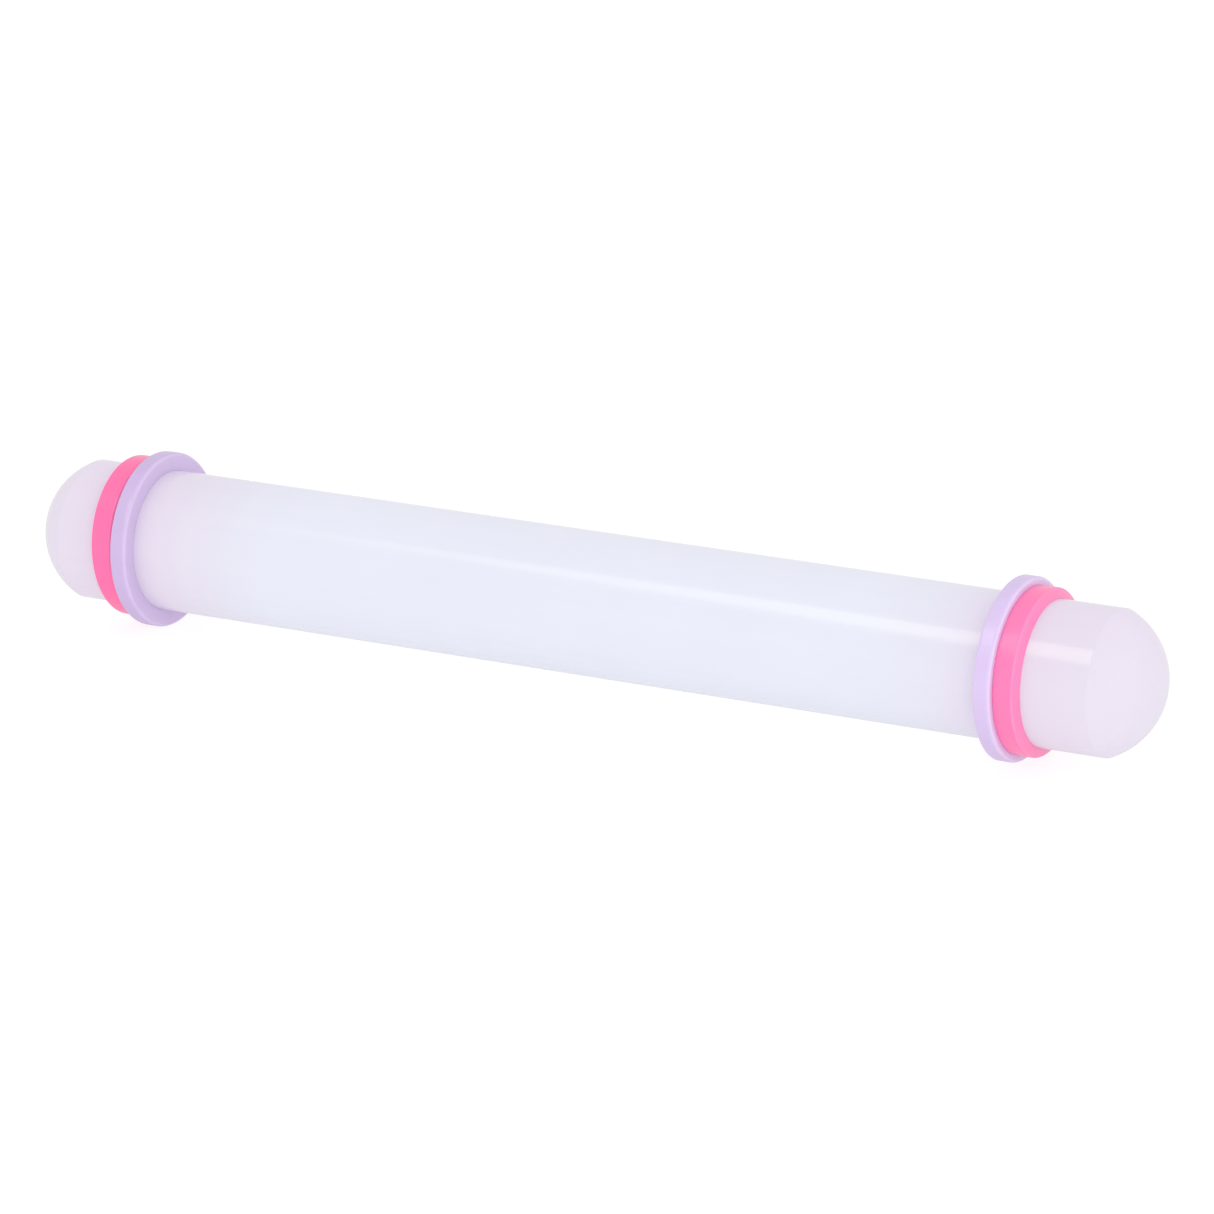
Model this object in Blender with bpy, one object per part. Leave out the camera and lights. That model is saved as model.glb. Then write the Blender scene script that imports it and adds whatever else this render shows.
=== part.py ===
"""A small rolling pin for fondant: a hollow plastic roller with a domed cap in each end, and a thick
and a thin guide ring that slide loosely on it near each end. Metres, the pin lying along X, +Z up."""

from math import asin, atan2, cos, pi, sin

import bmesh
import bpy
from mathutils import Matrix

# Roller tube
ROLLER_RADIUS = 0.0132
TUBE_LENGTH = 0.2100
TUBE_WALL = 0.0025
BORE_LEAD = 0.0005

# End caps
DOME_DEPTH = 0.0090
CAP_WALL = 0.0018
SPIGOT_LENGTH = 0.010
SPIGOT_LEAD = 0.0006
SPIGOT_CLEARANCE = 0.0003
SEAM_GAP = 0.0003

# Guide rings: the height of a ring over the roller is the thickness of the dough that it leaves
THICK_RING_HEIGHT = 0.0030
THICK_RING_WIDTH = 0.0032
THICK_RING_EDGE = 0.0007
THIN_RING_HEIGHT = 0.0016
THIN_RING_WIDTH = 0.0044
THIN_RING_EDGE = 0.00035
THIN_RING_SLANT = 0.0008
RING_BORE_EDGE = 0.0002
RING_CLEARANCE = 0.0003

# How far each pair of rings sits in from its end of the tube, and how far apart the two rings stand
LEFT_RINGS_INSET = 0.0080
LEFT_RINGS_GAP = 0.0006
RIGHT_RINGS_INSET = 0.0117
RIGHT_RINGS_GAP = 0.0003

# Facets round each turned piece, and along each rounded stretch of an outline
SIDES = 48
DOME_STEPS = 8
EDGE_STEPS = 3

# Points closer than this share of the roller's radius are one
MERGE_SHARE = 0.0001
SHARP_ANGLE = pi / 6

TUBE_BORE = ROLLER_RADIUS - TUBE_WALL
RING_BORE = ROLLER_RADIUS + RING_CLEARANCE
THICK_RING_RADIUS = RING_BORE + THICK_RING_HEIGHT
THIN_RING_RADIUS = RING_BORE + THIN_RING_HEIGHT
SPIGOT_RADIUS = TUBE_BORE - SPIGOT_CLEARANCE

# The pin rests on a facet of each thick ring, so its axis is one facet's distance up
AXIS_HEIGHT = THICK_RING_RADIUS * cos(pi / SIDES)

WHITE_PLASTIC = ("white_plastic", (0.80, 0.76, 0.87), 0.35)
LILAC_PLASTIC = ("lilac_plastic", (0.66, 0.53, 0.88), 0.38)
PINK_PLASTIC = ("pink_plastic", (1.00, 0.22, 0.50), 0.34)


def clear_scene():
    for old in list(bpy.data.objects):
        bpy.data.objects.remove(old)


def plastic(name, colour, roughness):
    material = bpy.data.materials.new(name)
    material.use_nodes = True
    material.diffuse_color = (*colour, 1.0)
    shader = material.node_tree.nodes["Principled BSDF"]
    shader.inputs["Base Color"].default_value = (*colour, 1.0)
    shader.inputs["Roughness"].default_value = roughness
    shader.inputs["Metallic"].default_value = 0.0
    return material


def arc(along, radial, size, start, end, steps):
    """Points (along the axis, from the axis) of an arc about (along, radial)."""
    turns = [start + (end - start) * step / steps for step in range(steps + 1)]
    return [(along + size * cos(turn), radial + size * sin(turn)) for turn in turns]


def turned(name, outline, closed):
    """A mesh: the outline, (along, from the axis) points, taken a full turn about X. A facet lies underneath."""
    shape = bmesh.new()
    points = [shape.verts.new((along, 0.0, -radial)) for along, radial in outline]
    ends = zip(points, points[1:] + points[:1] if closed else points[1:])
    edges = [shape.edges.new(pair) for pair in ends]
    bmesh.ops.rotate(shape, verts=points, matrix=Matrix.Rotation(pi / SIDES, 3, "X"))
    bmesh.ops.spin(
        shape, geom=points + edges, axis=(1, 0, 0), angle=2 * pi, steps=SIDES, use_merge=True
    )
    bmesh.ops.remove_doubles(shape, verts=shape.verts, dist=ROLLER_RADIUS * MERGE_SHARE)
    bmesh.ops.recalc_face_normals(shape, faces=shape.faces)
    mesh = bpy.data.meshes.new(name)
    shape.to_mesh(mesh)
    shape.free()
    mesh.shade_smooth()
    mesh.set_sharp_from_angle(angle=SHARP_ANGLE)
    return mesh


def tube_mesh():
    """A plain tube, its bore opened a little at both mouths for the spigots."""
    end = TUBE_LENGTH / 2
    outline = [
        (-end, ROLLER_RADIUS),
        (end, ROLLER_RADIUS),
        (end, TUBE_BORE + BORE_LEAD),
        (end - BORE_LEAD, TUBE_BORE),
        (-end + BORE_LEAD, TUBE_BORE),
        (-end, TUBE_BORE + BORE_LEAD),
    ]
    return turned("roller_tube", outline, closed=True)


def cap_mesh():
    """A hollow dome for the +X end, with a spigot that plugs the bore. X is counted from the dome's rim."""
    sphere = (ROLLER_RADIUS**2 + DOME_DEPTH**2) / (2 * DOME_DEPTH)
    centre = DOME_DEPTH - sphere
    hollow = SPIGOT_RADIUS - CAP_WALL
    inner_sphere = sphere - CAP_WALL
    mouth = -SEAM_GAP - SPIGOT_LENGTH
    outline = arc(centre, 0.0, sphere, 0.0, asin(ROLLER_RADIUS / sphere), DOME_STEPS)
    outline += [
        (0.0, SPIGOT_RADIUS),
        (mouth + SPIGOT_LEAD, SPIGOT_RADIUS),
        (mouth, SPIGOT_RADIUS - SPIGOT_LEAD),
        (mouth, hollow),
    ]
    outline += arc(centre, 0.0, inner_sphere, asin(hollow / inner_sphere), 0.0, DOME_STEPS - 2)
    return turned("end_cap", outline, closed=False)


def ring_mesh(name, radius, width, edge, slant=0.0):
    """A band with its two outer edges rounded and its bore's edges eased. Its left side is flat, and its
    right side slants in by slant from its bore to its outer edge."""
    side = width / 2
    tilt = atan2(slant, radius - RING_BORE - RING_BORE_EDGE)
    inset = edge * (1 - sin(tilt)) / cos(tilt)
    outline = arc(side - slant - inset, radius - edge, edge, tilt, pi / 2, EDGE_STEPS)
    outline += arc(edge - side, radius - edge, edge, pi / 2, pi, EDGE_STEPS)
    outline += [
        (-side, RING_BORE + RING_BORE_EDGE),
        (RING_BORE_EDGE - side, RING_BORE),
        (side - RING_BORE_EDGE, RING_BORE),
        (side, RING_BORE + RING_BORE_EDGE),
    ]
    return turned(name, outline, closed=True)


def place(name, mesh, material, along, axis, turn=0.0):
    """Puts a piece on the pin's axis, turned about the vertical."""
    piece = bpy.data.objects.new(name, mesh)
    if not mesh.materials:
        mesh.materials.append(material)
    bpy.context.scene.collection.objects.link(piece)
    piece.parent = axis
    piece.location.x = along
    piece.rotation_euler.z = turn
    return piece


def pin_axis():
    axis = bpy.data.objects.new("pin_axis", None)
    bpy.context.scene.collection.objects.link(axis)
    axis.location.z = AXIS_HEIGHT
    return axis


def roller(axis):
    white = plastic(*WHITE_PLASTIC)
    rim = TUBE_LENGTH / 2 + SEAM_GAP
    cap = cap_mesh()
    place("roller_tube", tube_mesh(), white, 0.0, axis)
    place("end_cap_left", cap, white, -rim, axis, turn=pi)
    place("end_cap_right", cap, white, rim, axis)


def guide_rings(axis):
    """Each pair: the thin ring outboard, the thick one beside it towards the middle."""
    lilac = plastic(*LILAC_PLASTIC)
    pink = plastic(*PINK_PLASTIC)
    thick = ring_mesh("thick_ring", THICK_RING_RADIUS, THICK_RING_WIDTH, THICK_RING_EDGE)
    thin = ring_mesh("thin_ring", THIN_RING_RADIUS, THIN_RING_WIDTH, THIN_RING_EDGE, THIN_RING_SLANT)
    for end, way, inset, gap in (
        ("left", -1, LEFT_RINGS_INSET, LEFT_RINGS_GAP),
        ("right", 1, RIGHT_RINGS_INSET, RIGHT_RINGS_GAP),
    ):
        outer_face = TUBE_LENGTH / 2 - inset
        thin_place = outer_face - THIN_RING_WIDTH / 2
        thick_place = outer_face - THIN_RING_WIDTH - gap - THICK_RING_WIDTH / 2
        place(f"thin_ring_{end}", thin, pink, way * thin_place, axis)
        place(f"thick_ring_{end}", thick, lilac, way * thick_place, axis)


clear_scene()
AXIS = pin_axis()
roller(AXIS)
guide_rings(AXIS)
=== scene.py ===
"""The looks of a small rolling pin for fondant: a milky white hollow roller with a domed cap in each
end, and near each end a thick lilac and a thin pink guide ring. Metres, the pin lying along X, +Z up."""

from math import asin, cos, pi, radians, sin, tan

import bmesh
import bpy
from mathutils import Matrix, Vector


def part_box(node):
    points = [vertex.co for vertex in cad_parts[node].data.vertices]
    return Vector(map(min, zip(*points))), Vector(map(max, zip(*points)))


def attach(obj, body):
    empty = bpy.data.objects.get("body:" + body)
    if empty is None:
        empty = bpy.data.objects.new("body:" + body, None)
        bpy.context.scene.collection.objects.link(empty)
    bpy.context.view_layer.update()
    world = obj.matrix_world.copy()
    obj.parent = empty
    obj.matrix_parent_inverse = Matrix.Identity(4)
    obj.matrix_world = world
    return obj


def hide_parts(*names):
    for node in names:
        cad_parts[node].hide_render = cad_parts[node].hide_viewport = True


MM = 0.001

# The photograph's camera: its frame, its focal length in pixels, and where it stands
PHOTO_SIDE = 1214
FOCAL_PIXELS = 6012.4
CAMERA_AZIMUTH = radians(28.82)
CAMERA_ELEVATION = radians(16.02)
CAMERA_DISTANCE = 1090.6 * MM

# How far the middle of the pin lies to the right of the camera's line of sight, and above it
PIN_RIGHT = -4.225 * MM
PIN_ABOVE = 0.842 * MM

# Facets round a turned piece, along its rounded edges, and along a dome
SIDES = 400
EDGE_STEPS = 6
DOME_STEPS = 40

# Roller: the wall of its tube, its caps, how far beyond the solid tube's end the closed seam with a dome
# lies, and the fine rounding there
TUBE_WALL = 2.5 * MM
BORE_LEAD = 0.5 * MM
SEAM_SHIFT = 0.6 * MM
CREASE_ROUND = 0.012 * MM
CAP_WALL = 1.8 * MM
SPIGOT_LENGTH = 10.0 * MM
SPIGOT_LEAD = 0.6 * MM
SPIGOT_CLEARANCE = 0.3 * MM

# Guide rings: the rounding of their outer edges, left and right, how far the right side slants in from its
# bore to its outer edge, the easing of the bore's edges, the room round the roller, and how far a ring
# stops short of the height of its solid
THICK_RING_EDGES = (0.45 * MM, 0.7 * MM)
THIN_RING_EDGES = (0.08 * MM, 0.35 * MM)
RING_SLANTS = {
    "thick_ring_left": 0.0,
    "thick_ring_right": 0.0,
    "thin_ring_left": 0.5 * MM,
    "thin_ring_right": 0.8 * MM,
}
RING_BORE_EDGE = 0.02 * MM
RING_CLEARANCE = 0.01 * MM
RING_SHY = 0.001 * MM

# How each loose ring stands: how far its top leans to the left, and how far it has slid to the right
RING_LEANS = {
    "thick_ring_left": radians(1.2),
    "thick_ring_right": radians(-0.3),
    "thin_ring_left": radians(2.4),
    "thin_ring_right": radians(-0.3),
}
RING_SLIPS = {
    "thick_ring_left": 0.15 * MM,
    "thick_ring_right": 0.26 * MM,
    "thin_ring_left": 0.30 * MM,
    "thin_ring_right": 0.0,
}

# The colours of the plastics, in linear light: the roller's in its middle and towards its ends, where a
# painted lilac cast of light is added, and each ring's at the two ends of the pin, with painted shade at
# the left and painted light at the right, and the shares of them that its flat sides show as painted light
# and that its rubbed edges show as a painted highlight
WHITE_MIDDLE = (0.76, 0.78, 0.88, 1.0)
WHITE_ENDS_PAINTED_LILAC_CAST = (0.76, 0.69, 0.81, 1.0)
LILAC_LEFT_PAINTED_SHADE = (0.535, 0.415, 0.665, 1.0)
LILAC_RIGHT_PAINTED_LIGHT = (0.61, 0.485, 0.745, 1.0)
LILAC_LIT_SIDE_SHARES = (1.13, 1.16, 1.10, 1.0)
LILAC_EDGE_HIGHLIGHT_SHARES = (1.06, 1.08, 1.04, 1.0)
PINK_LEFT_PAINTED_SHADE = (0.95, 0.142, 0.36, 1.0)
PINK_RIGHT_PAINTED_LIGHT = (0.95, 0.180, 0.41, 1.0)
PINK_LIT_SIDE_SHARES = (1.0, 1.28, 1.16, 1.0)
PINK_EDGE_HIGHLIGHT_SHARES = (1.0, 1.25, 1.15, 1.0)

# Where along the pin these colours and their painted light change. The white's painted lilac cast counts
# from a point beside the middle, both ways, and over the right dome a small part of it goes back, which
# paints that dome a little lighter.
WHITE_CHANGE_CENTRE = 3 * MM
WHITE_CHANGE = (58 * MM, 92 * MM)
RIGHT_DOME_CHANGE = (98 * MM, 112 * MM)
RIGHT_DOME_SHARE = 0.92
RING_CHANGE = (-90 * MM, 90 * MM)

# How squarely a face of a ring looks along the pin where the painted light on its flat side starts, and
# where it is full
SIDE_FACING = (0.5, 0.9)

# Marks of the white plastic: the size of its grains, and their stretch along each axis
CLOUD_SIZE = 18 * MM
STREAK_SIZE = 1.4 * MM
STREAK_STRETCH = (60, 1, 1)
RIPPLE_SIZE = 1.6 * MM
RIPPLE_STRETCH = (3, 1, 1)
SCUFF_SIZE = 6 * MM
SCUFF_STRETCH = (5, 1, 1)
SCUFF_WIDTH = 0.006

# What these marks do to its brightness, its roughness and its relief
CLOUD_LEVEL = 0.05
STREAK_LEVEL = 0.025
WHITE_ROUGHNESS = 0.15
CLOUD_ROUGHNESS = 0.06
SCUFF_ROUGHNESS = 0.12
SCUFF_HEIGHT = -0.3

# Marks of the ring plastics, likewise: the flow of the moulding, lines turned round the pin, nicks, and the
# patches in which the edges are rubbed and lightened as a painted highlight
FLOW_SIZE = 5 * MM
TURNED_LINE_SIZE = 0.12 * MM
NICK_SIZE = 2 * MM
NICK_STRETCH = (1, 1, 1)
NICK_WIDTH = 0.01
RUBBED_HIGHLIT_PATCH_SIZE = 3 * MM
RUBBED_HIGHLIT_PATCH_NOISE = (-0.2, 0.1)
RUBBED_HIGHLIT_LEAST = 0.6

# What they do, likewise
FLOW_LEVEL = 0.06
TURNED_LINE_LEVEL = 0.03
RING_ROUGHNESS = 0.24
FLOW_ROUGHNESS = 0.12
NICK_ROUGHNESS = 0.10
RUBBED_ROUGHNESS = 0.06
NICK_HEIGHT = -0.5

# Scuffs and nicks: how broken their lines are, and the size (times theirs) and noise of their patches
HAIRLINE_DETAIL = 4.0
HAIRLINE_PATCH_TIMES = 4
HAIRLINE_PATCH_NOISE = (0.0, 0.15)

# All the plastics
PLASTIC_IOR = 1.5
RELIEF_DEPTH = 0.002 * MM

WHITE_LIGHT = (1.0, 1.0, 1.0)

# A soft box's watts for each square metre and each unit of its radiance
BOX_WATTS = 4

# The strip box, which runs away to the upper left: the middle of its face from the middle of the pin, its
# run, the way its width lies, its size and its light, which fades towards its far end. The roller shows
# it as a thin wedge of light.
STRIP_MIDDLE = Vector((-0.62, -0.63, 1.07))
STRIP_ALONG = Vector((-0.957, -0.332, 1.133)).normalized()
STRIP_ACROSS = Vector((-0.018, 0.786, 0.62))
STRIP_LENGTH = 1.9
STRIP_WIDTH = 0.30
STRIP_RADIANCE = 2.05
STRIP_FAR_SHARE = 0.17
STRIP_COLOUR = (1.0, 0.98, 0.75)

# The other boxes face the middle of the pin. The key box stands beyond its right-hand end.
KEY_PLACE = Vector((1.24, -0.22, 0.34))
KEY_SIZE = (1.0, 1.0)
KEY_RADIANCE = 0.15

# The fill box, on the viewer's side, softens the shadows between the rings, and leaves no reflection
FILL_PLACE = Vector((0.80, -1.50, 0.62))
FILL_SIZE = (1.5, 1.5)
FILL_RADIANCE = 0.43

# The ring box stands there too, and lights the rings alone, which shade off more than the milky roller
# does. It leaves no reflection either.
RING_BOX_RADIANCE = 1.2

# The top box, over the right half of the pin, lightens the upper side of the roller alone, and leaves no
# reflection either
TOP_PLACE = Vector((0.25, 0.20, 0.55))
TOP_SIZE = (0.5, 0.5)
TOP_RADIANCE = 0.18
TOP_COLOUR = (1.0, 0.6, 0.95)

# The light from all round: as the camera sees it, as the pin is lit by it, and as the pin mirrors it
SKY = (1.03, 0.97, 0.84)

# The floor's own light, and the share of the light on it that it gives back, for the same three: the camera
# sees it nearly without shadows
FLOOR_GLOW = (0.85, 0.70, 0.52)
FLOOR_SHARE = (0.18, 0.33, 0.33)
FLOOR_ROUGHNESS = 0.9

# From the floor's middle to its sides
FLOOR_REACH = 4.0

# Points closer than this are one, and an edge with a sharper turn than this is not smoothed
MERGE = 0.0005 * MM
SHARP_ANGLE = radians(35)

# Beside a rounded corner, a point this many times its radius away keeps the long faces true
HOLD_SHARE = 1.6

# How much nearer to a square corner the middle of its rounding lies than the ends do, in radii
ROUNDING_REACH = 2 - 2**0.5


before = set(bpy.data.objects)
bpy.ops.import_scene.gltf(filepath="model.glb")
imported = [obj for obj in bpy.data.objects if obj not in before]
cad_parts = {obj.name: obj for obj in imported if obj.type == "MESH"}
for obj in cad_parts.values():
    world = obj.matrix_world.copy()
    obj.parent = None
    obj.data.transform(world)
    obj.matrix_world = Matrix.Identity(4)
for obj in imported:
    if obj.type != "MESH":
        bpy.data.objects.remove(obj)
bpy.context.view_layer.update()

TUBE_LOW, TUBE_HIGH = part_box("roller_tube")
AXIS_HEIGHT = (TUBE_LOW.z + TUBE_HIGH.z) / 2
ROLLER_RADIUS = (TUBE_HIGH.z - TUBE_LOW.z) / 2
TUBE_END = TUBE_HIGH.x + SEAM_SHIFT
TUBE_BORE = ROLLER_RADIUS - TUBE_WALL
SPIGOT_RADIUS = TUBE_BORE - SPIGOT_CLEARANCE
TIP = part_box("end_cap_right")[1].x

# The pieces that the ring box and the top box light
RING_BOX_PIECES = bpy.data.collections.new("lit_rings")
TOP_BOX_PIECES = bpy.data.collections.new("lit_roller")


def arc(along, radial, size, start, end, steps):
    """Points (along the axis, from the axis) of an arc about (along, radial)."""
    turns = [start + (end - start) * step / steps for step in range(steps + 1)]
    return [(along + size * cos(turn), radial + size * sin(turn)) for turn in turns]


def held(outline, rounded):
    """The outline with a point on each side of every corner that is to be rounded."""
    sizes = {(along, radial): size for along, radial, size in rounded}
    points = []
    for index, corner in enumerate(outline):
        if corner not in sizes:
            points.append(corner)
            continue
        here = Vector(corner)
        before = Vector(outline[index - 1]) - here
        after = Vector(outline[(index + 1) % len(outline)]) - here
        reach = HOLD_SHARE * sizes[corner]
        points += [here + reach * before.normalized(), here, here + reach * after.normalized()]
    return points


def turned(name, outline, closed, rounded=(), lean=0.0):
    """A piece: the outline, (along, from the axis) points, taken a full turn about the pin's axis. Rounded
    lists (along, from the axis, radius) of the outline's corners that are rounded after the turn, and their
    points are marked as worn, a mark that the rings also use for a painted edge highlight. The piece then
    leans, its top to the left, and keeps hugging the axis."""
    shape = bmesh.new()
    worn_and_highlit = shape.verts.layers.float.new("edge_wear_and_highlight")
    points = [shape.verts.new((along, 0.0, radial)) for along, radial in held(outline, rounded)]
    ends = zip(points, points[1:] + points[:1] if closed else points[1:])
    edges = [shape.edges.new(pair) for pair in ends]
    bmesh.ops.spin(
        shape, geom=points + edges, axis=(1, 0, 0), angle=2 * pi, steps=SIDES, use_merge=True
    )
    bmesh.ops.remove_doubles(shape, verts=shape.verts, dist=MERGE)
    bmesh.ops.recalc_face_normals(shape, faces=shape.faces)
    for along, radial, size in rounded:
        made = bmesh.ops.bevel(
            shape,
            geom=[
                edge
                for edge in shape.edges
                if all(off_corner(point, along, radial) < MERGE for point in edge.verts)
            ],
            offset=size,
            offset_type="OFFSET",
            affect="EDGES",
            segments=EDGE_STEPS,
            profile=0.5,
            material=-1,
        )
        # The worn mark also carries the rings' painted edge highlight
        for point in made["verts"]:
            point[worn_and_highlit] = max(0.0, 1.0 - off_corner(point, along, radial) / size) / ROUNDING_REACH
    aslant = Matrix(((1, 0, -tan(lean), 0), (0, 1, 0, 0), (0, 0, 1, 0), (0, 0, 0, 1)))
    bmesh.ops.transform(shape, verts=shape.verts, matrix=aslant)
    bmesh.ops.translate(shape, verts=shape.verts, vec=(0.0, 0.0, AXIS_HEIGHT))
    mesh = bpy.data.meshes.new(name)
    shape.to_mesh(mesh)
    shape.free()
    mesh.shade_smooth()
    mesh.set_sharp_from_angle(angle=SHARP_ANGLE)
    piece = bpy.data.objects.new(name, mesh)
    bpy.context.scene.collection.objects.link(piece)
    return piece


def off_corner(point, along, radial):
    """How far a point of a turned shape lies from the circle of this outline corner."""
    from_axis = (point.co.y**2 + point.co.z**2) ** 0.5
    return ((point.co.x - along) ** 2 + (from_axis - radial) ** 2) ** 0.5


def node(tree, kind, inputs=(), **settings):
    """A shader node; inputs are (name or number, value or socket) pairs."""
    made = tree.nodes.new("ShaderNode" + kind)
    for name, value in settings.items():
        setattr(made, name, value)
    for name, value in dict(inputs).items():
        if isinstance(value, bpy.types.NodeSocket):
            tree.links.new(value, made.inputs[name])
        else:
            made.inputs[name].default_value = value
    return made


def calc(tree, operation, *values):
    return node(tree, "Math", dict(enumerate(values)), operation=operation).outputs[0]


def spread(tree, value, low, high, least=0.0, most=1.0):
    """A value between low and high, spread smoothly from least to most."""
    inputs = {"Value": value, "From Min": low, "From Max": high, "To Min": least, "To Max": most}
    return node(tree, "MapRange", inputs, interpolation_type="SMOOTHSTEP").outputs["Result"]


def blend(tree, share, first, second):
    inputs = {"Factor": share, "A": first, "B": second}
    return node(tree, "Mix", inputs, data_type="RGBA").outputs["Result"]


def tint(tree, mask, colour, shares):
    """The colour, times its shares where the mask is 1."""
    inputs = {"Factor": mask, "A": colour, "B": shares}
    return node(tree, "Mix", inputs, data_type="RGBA", blend_type="MULTIPLY").outputs["Result"]


def grain(tree, place, size, stretch=(1.0, 1.0, 1.0), detail=2.0):
    """Noise about zero whose grains have about this size, times stretch along each axis."""
    scale = [1 / (size * times) for times in stretch]
    scaled = node(tree, "Mapping", {"Vector": place, "Scale": scale}).outputs["Vector"]
    inputs = {"Vector": scaled, "Scale": 1.0, "Detail": detail}
    return calc(tree, "SUBTRACT", node(tree, "TexNoise", inputs).outputs["Fac"], 0.5)


def hairlines(tree, place, size, stretch, width):
    """Fine curved lines, 1 on a line and 0 beside it, in patches a few times as large as their spacing."""
    from_line = calc(tree, "ABSOLUTE", grain(tree, place, size, stretch, HAIRLINE_DETAIL))
    lines = spread(tree, from_line, 0.0, width, 1.0, 0.0)
    patches = spread(tree, grain(tree, place, HAIRLINE_PATCH_TIMES * size), *HAIRLINE_PATCH_NOISE)
    return calc(tree, "MULTIPLY", lines, patches)


def plastic(name):
    """A plastic: its shader, and the pin's own coordinates, metres from the middle of its axis."""
    material = bpy.data.materials.new(name)
    material.use_nodes = True
    tree = material.node_tree
    shader = tree.nodes["Principled BSDF"]
    shader.inputs["IOR"].default_value = PLASTIC_IOR
    place = node(tree, "TexCoord").outputs["Object"]
    inputs = {"Vector": place, "Location": (0.0, 0.0, -AXIS_HEIGHT)}
    centred = node(tree, "Mapping", inputs).outputs["Vector"]
    return material, tree, shader, centred


def surface(tree, shader, colour, level, roughness, height):
    """Gives a plastic its colour times a brightness level, its roughness and its relief."""
    shade = node(tree, "HueSaturation", {"Color": colour, "Value": level}).outputs["Color"]
    tree.links.new(shade, shader.inputs["Base Color"])
    tree.links.new(roughness, shader.inputs["Roughness"])
    relief = node(tree, "Bump", {"Height": height, "Distance": RELIEF_DEPTH, "Strength": 1.0})
    tree.links.new(relief.outputs["Normal"], shader.inputs["Normal"])


def white_plastic():
    """Milky white, cool in the middle, with a painted lilac cast of light towards the ends and less of it
    over the right dome, and fine drawn streaks.
    """
    material, tree, shader, place = plastic("milky_white_plastic")
    along = node(tree, "SeparateXYZ", {"Vector": place}).outputs["X"]
    # Painted lilac cast of light, growing towards both ends and partly taken back over the right dome
    from_centre = calc(tree, "ABSOLUTE", calc(tree, "SUBTRACT", along, WHITE_CHANGE_CENTRE))
    painted_cast_endwards = spread(tree, from_centre, *WHITE_CHANGE)
    painted_cast_kept = spread(tree, along, *RIGHT_DOME_CHANGE, 1.0, RIGHT_DOME_SHARE)
    colour = blend(tree, calc(tree, "MULTIPLY", painted_cast_endwards, painted_cast_kept), WHITE_MIDDLE, WHITE_ENDS_PAINTED_LILAC_CAST)
    clouds = grain(tree, place, CLOUD_SIZE, detail=3.0)
    streaks = grain(tree, place, STREAK_SIZE, STREAK_STRETCH)
    ripples = grain(tree, place, RIPPLE_SIZE, RIPPLE_STRETCH)
    scuffs = hairlines(tree, place, SCUFF_SIZE, SCUFF_STRETCH, SCUFF_WIDTH)
    level = calc(tree, "MULTIPLY_ADD", clouds, CLOUD_LEVEL, 1.0)
    level = calc(tree, "MULTIPLY_ADD", streaks, STREAK_LEVEL, level)
    rough = calc(tree, "MULTIPLY_ADD", clouds, CLOUD_ROUGHNESS, WHITE_ROUGHNESS)
    rough = calc(tree, "MULTIPLY_ADD", scuffs, SCUFF_ROUGHNESS, rough)
    height = calc(tree, "MULTIPLY_ADD", scuffs, SCUFF_HEIGHT, ripples)
    surface(tree, shader, colour, level, rough, height)
    return material


def ring_plastic(name, left, right, lit_side_shares, edge_highlight_shares):
    """A coloured plastic, darker at the pin's left end and brighter at its right as painted shade and
    light, with painted light on the flat sides of a ring, fine lines turned round the pin, and rubbed outer
    edges, rougher and lightened as a painted highlight."""
    material, tree, shader, place = plastic(name)
    along = node(tree, "SeparateXYZ", {"Vector": place}).outputs["X"]
    # Painted light: the ring darker at the pin's left end and lighter at its right
    colour = blend(tree, spread(tree, along, *RING_CHANGE), left, right)
    # Painted light: the flat sides of a ring lighter than its band
    facing = node(tree, "TexCoord").outputs["Normal"]
    sideways = calc(tree, "ABSOLUTE", node(tree, "SeparateXYZ", {"Vector": facing}).outputs["X"])
    colour = tint(tree, spread(tree, sideways, *SIDE_FACING), colour, lit_side_shares)
    flow = grain(tree, place, FLOW_SIZE, detail=3.0)
    inputs = {0: place, 1: (0.0, 1.0, 1.0)}
    across = node(tree, "VectorMath", inputs, operation="MULTIPLY").outputs["Vector"]
    from_axis = node(tree, "VectorMath", {0: across}, operation="LENGTH").outputs["Value"]
    round_pin = node(tree, "CombineXYZ", {"X": along, "Y": from_axis}).outputs["Vector"]
    turned_lines = grain(tree, round_pin, TURNED_LINE_SIZE, detail=1.0)
    patches = grain(tree, place, RUBBED_HIGHLIT_PATCH_SIZE, detail=4.0)
    patches = spread(tree, patches, *RUBBED_HIGHLIT_PATCH_NOISE, RUBBED_HIGHLIT_LEAST, 1.0)
    worn_and_highlit = node(tree, "Attribute", attribute_name="edge_wear_and_highlight").outputs["Fac"]
    rubbed_and_highlit = calc(tree, "MULTIPLY", worn_and_highlit, patches)
    # Painted highlight: the rubbed edges lightened, besides their rougher wear
    colour = tint(tree, rubbed_and_highlit, colour, edge_highlight_shares)
    nicks = hairlines(tree, place, NICK_SIZE, NICK_STRETCH, NICK_WIDTH)
    level = calc(tree, "MULTIPLY_ADD", flow, FLOW_LEVEL, 1.0)
    level = calc(tree, "MULTIPLY_ADD", turned_lines, TURNED_LINE_LEVEL, level)
    rough = calc(tree, "MULTIPLY_ADD", flow, FLOW_ROUGHNESS, RING_ROUGHNESS)
    rough = calc(tree, "MULTIPLY_ADD", nicks, NICK_ROUGHNESS, rough)
    rough = calc(tree, "MULTIPLY_ADD", rubbed_and_highlit, RUBBED_ROUGHNESS, rough)
    height = calc(tree, "MULTIPLY_ADD", nicks, NICK_HEIGHT, turned_lines)
    surface(tree, shader, colour, level, rough, height)
    return material


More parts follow.
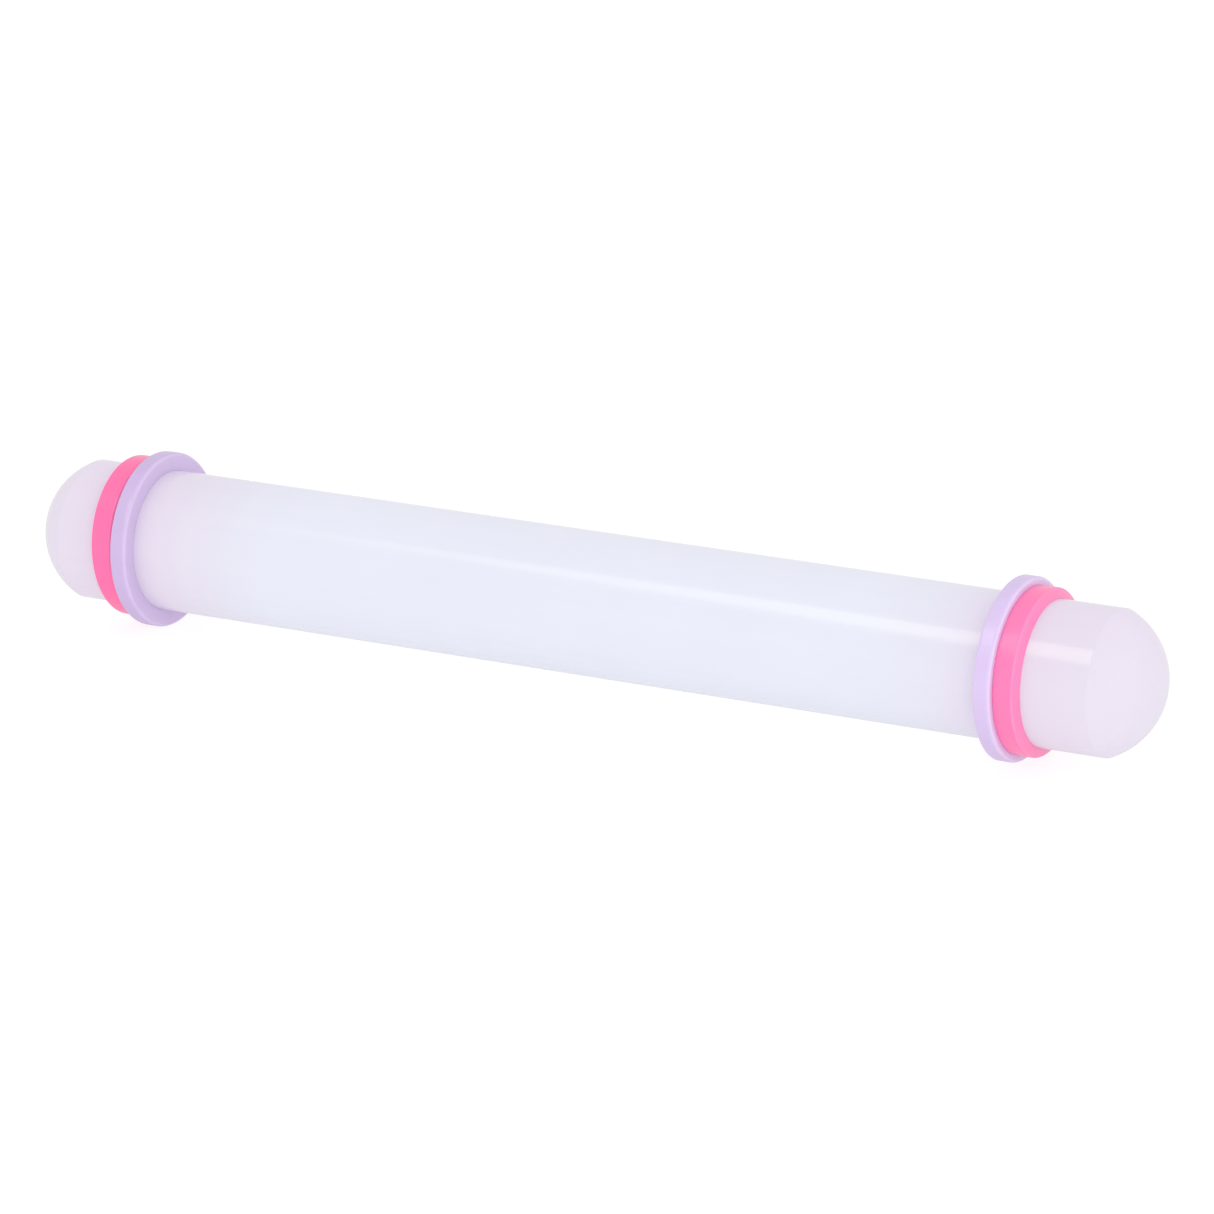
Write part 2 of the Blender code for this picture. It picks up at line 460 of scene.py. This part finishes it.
def dress(piece, material, body, slot, *nodes):
    """Gives a piece its material, its body and the solids that it replaces. The slot is not used."""
    piece.data.materials.append(material)
    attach(piece, body)
    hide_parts(*nodes)


def tube(material):
    """The roller's tube, its bore opened a little at both mouths for the spigots."""
    outline = [
        (-TUBE_END, ROLLER_RADIUS),
        (TUBE_END, ROLLER_RADIUS),
        (TUBE_END, TUBE_BORE + BORE_LEAD),
        (TUBE_END - BORE_LEAD, TUBE_BORE),
        (-TUBE_END + BORE_LEAD, TUBE_BORE),
        (-TUBE_END, TUBE_BORE + BORE_LEAD),
    ]
    rounded = [(way * TUBE_END, ROLLER_RADIUS, CREASE_ROUND) for way in (-1, 1)]
    piece = turned("tube", outline, True, rounded)
    dress(piece, material, "roller", "roller", "roller_tube")
    TOP_BOX_PIECES.objects.link(piece)


def cap(end, way, material):
    """A hollow dome with a spigot in the tube's bore, its rim against the tube's end. Way is -1 at the left
    end of the pin and 1 at the right."""
    rim = TUBE_END
    depth = TIP - rim
    sphere = (ROLLER_RADIUS**2 + depth**2) / (2 * depth)
    centre = TIP - sphere
    hollow = SPIGOT_RADIUS - CAP_WALL
    inner_sphere = sphere - CAP_WALL
    mouth = rim - SPIGOT_LENGTH
    outline = arc(centre, 0.0, sphere, 0.0, asin(ROLLER_RADIUS / sphere), DOME_STEPS)
    outline[-1] = (rim, ROLLER_RADIUS)
    outline += [
        (rim, SPIGOT_RADIUS),
        (mouth + SPIGOT_LEAD, SPIGOT_RADIUS),
        (mouth, SPIGOT_RADIUS - SPIGOT_LEAD),
        (mouth, hollow),
    ]
    outline += arc(centre, 0.0, inner_sphere, asin(hollow / inner_sphere), 0.0, DOME_STEPS)
    outline = [(way * along, radial) for along, radial in outline]
    rounded = [(way * rim, ROLLER_RADIUS, CREASE_ROUND)]
    piece = turned(f"dome_{end}", outline, False, rounded)
    dress(piece, material, "roller", "roller", f"end_cap_{end}")
    TOP_BOX_PIECES.objects.link(piece)


def ring(kind, end, edges, material):
    """A band with a flat left side, and a right side that may slant in towards its outer edge."""
    name = f"{kind}_ring_{end}"
    low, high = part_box(name)
    left = low.x + RING_SLIPS[name]
    right = high.x + RING_SLIPS[name]
    slant = RING_SLANTS[name]
    radius = (high.z - low.z) / 2 - RING_SHY
    bore = ROLLER_RADIUS + RING_CLEARANCE
    outline = [
        (left, radius),
        (right - slant, radius),
        (right, bore + RING_BORE_EDGE),
        (right - RING_BORE_EDGE, bore),
        (left + RING_BORE_EDGE, bore),
        (left, bore + RING_BORE_EDGE),
    ]
    rounded = [(*corner, edge) for corner, edge in zip(outline, edges)]
    piece = turned(f"{kind}_guide_ring_{end}", outline, True, rounded, RING_LEANS[name])
    dress(piece, material, name, f"{kind}_ring", name)
    RING_BOX_PIECES.objects.link(piece)


def add_to_scene(name, data):
    made = bpy.data.objects.new(name, data)
    bpy.context.scene.collection.objects.link(made)
    return made


def make_camera():
    """The photograph's camera. Back points from the pin to it."""
    back = Vector(
        (
            sin(CAMERA_AZIMUTH) * cos(CAMERA_ELEVATION),
            -cos(CAMERA_AZIMUTH) * cos(CAMERA_ELEVATION),
            sin(CAMERA_ELEVATION),
        )
    )
    right = Vector((cos(CAMERA_AZIMUTH), sin(CAMERA_AZIMUTH), 0.0))
    up = back.cross(right)
    middle = Vector((0.0, 0.0, AXIS_HEIGHT))
    data = bpy.data.cameras.new("camera")
    data.lens = FOCAL_PIXELS / PHOTO_SIDE * data.sensor_width
    camera = add_to_scene("camera", data)
    camera.matrix_world = Matrix((right, up, back)).transposed().to_4x4()
    camera.location = middle - PIN_RIGHT * right - PIN_ABOVE * up + CAMERA_DISTANCE * back
    bpy.context.scene.camera = camera


def soft_box(name, size, radiance, colour, place, turn=None):
    """A soft box that shines along its own -Z, out of the camera's sight. Place counts from the middle of
    the pin, which the box faces unless it is turned otherwise."""
    if turn is None:
        turn = place.to_track_quat("Z", "Y").to_matrix()
    data = bpy.data.lights.new(name, "AREA")
    data.shape = "RECTANGLE"
    data.size, data.size_y = size
    data.energy = BOX_WATTS * radiance * data.size * data.size_y
    data.color = colour
    light = add_to_scene(name, data)
    light.visible_camera = False
    light.matrix_world = turn.to_4x4()
    light.location = place + Vector((0.0, 0.0, AXIS_HEIGHT))
    return light


def strip_box():
    """The strip box, which only reflections show."""
    across = (STRIP_ACROSS - STRIP_ACROSS.dot(STRIP_ALONG) * STRIP_ALONG).normalized()
    turn = Matrix((across, STRIP_ALONG, across.cross(STRIP_ALONG))).transposed()
    size = (STRIP_WIDTH, STRIP_LENGTH)
    strip = soft_box("strip_box", size, STRIP_RADIANCE, STRIP_COLOUR, STRIP_MIDDLE, turn)
    strip.visible_diffuse = False
    strip.data.use_nodes = True
    tree = strip.data.node_tree
    face = node(tree, "NewGeometry").outputs["Parametric"]
    along = node(tree, "SeparateXYZ", {"Vector": face}).outputs["Y"]
    inputs = {"Value": along, "To Min": 1.0, "To Max": STRIP_FAR_SHARE}
    fade = node(tree, "MapRange", inputs).outputs["Result"]
    tree.links.new(fade, tree.nodes["Emission"].inputs["Strength"])


def by_viewer(tree, seen, felt, mirrored):
    """A value: seen for the camera itself, mirrored for a reflection, and felt for all other light."""
    path = node(tree, "LightPath").outputs
    inputs = {"Value": path["Is Glossy Ray"], "To Min": felt, "To Max": mirrored}
    unseen = node(tree, "MapRange", inputs).outputs["Result"]
    inputs = {"Value": path["Is Camera Ray"], "To Min": unseen, "To Max": seen}
    return node(tree, "MapRange", inputs).outputs["Result"]


def studio():
    """The light from all round, and the soft boxes."""
    scene = bpy.context.scene
    scene.view_settings.view_transform = "Standard"
    world = bpy.data.worlds.new("studio")
    world.use_nodes = True
    background = world.node_tree.nodes["Background"]
    background.inputs["Color"].default_value = (*WHITE_LIGHT, 1.0)
    world.node_tree.links.new(by_viewer(world.node_tree, *SKY), background.inputs["Strength"])
    scene.world = world

    strip_box()
    soft_box("key_box", KEY_SIZE, KEY_RADIANCE, WHITE_LIGHT, KEY_PLACE)
    fill = soft_box("fill_box", FILL_SIZE, FILL_RADIANCE, WHITE_LIGHT, FILL_PLACE)
    front = soft_box("ring_box", FILL_SIZE, RING_BOX_RADIANCE, WHITE_LIGHT, FILL_PLACE)
    top = soft_box("top_box", TOP_SIZE, TOP_RADIANCE, TOP_COLOUR, TOP_PLACE)
    for box in (fill, front, top):
        box.visible_glossy = False
    front.light_linking.receiver_collection = RING_BOX_PIECES
    top.light_linking.receiver_collection = TOP_BOX_PIECES


def floor():
    """A plain pale floor, level with the underside of the pin."""
    shape = bmesh.new()
    bmesh.ops.create_grid(shape, x_segments=1, y_segments=1, size=FLOOR_REACH)
    mesh = bpy.data.meshes.new("floor")
    shape.to_mesh(mesh)
    shape.free()
    material = bpy.data.materials.new("pale_floor")
    material.use_nodes = True
    tree = material.node_tree
    shader = tree.nodes["Principled BSDF"]
    tree.links.new(by_viewer(tree, *FLOOR_SHARE), shader.inputs["Base Color"])
    tree.links.new(by_viewer(tree, *FLOOR_GLOW), shader.inputs["Emission Strength"])
    shader.inputs["Emission Color"].default_value = (*WHITE_LIGHT, 1.0)
    shader.inputs["Roughness"].default_value = FLOOR_ROUGHNESS
    mesh.materials.append(material)
    add_to_scene("floor", mesh)


make_camera()
studio()
floor()

white = white_plastic()
lilac = ring_plastic("lilac_plastic", LILAC_LEFT_PAINTED_SHADE, LILAC_RIGHT_PAINTED_LIGHT, LILAC_LIT_SIDE_SHARES, LILAC_EDGE_HIGHLIGHT_SHARES)
pink = ring_plastic("pink_plastic", PINK_LEFT_PAINTED_SHADE, PINK_RIGHT_PAINTED_LIGHT, PINK_LIT_SIDE_SHARES, PINK_EDGE_HIGHLIGHT_SHARES)
tube(white)
for END, WAY in (("left", -1), ("right", 1)):
    cap(END, WAY, white)
    ring("thick", END, THICK_RING_EDGES, lilac)
    ring("thin", END, THIN_RING_EDGES, pink)
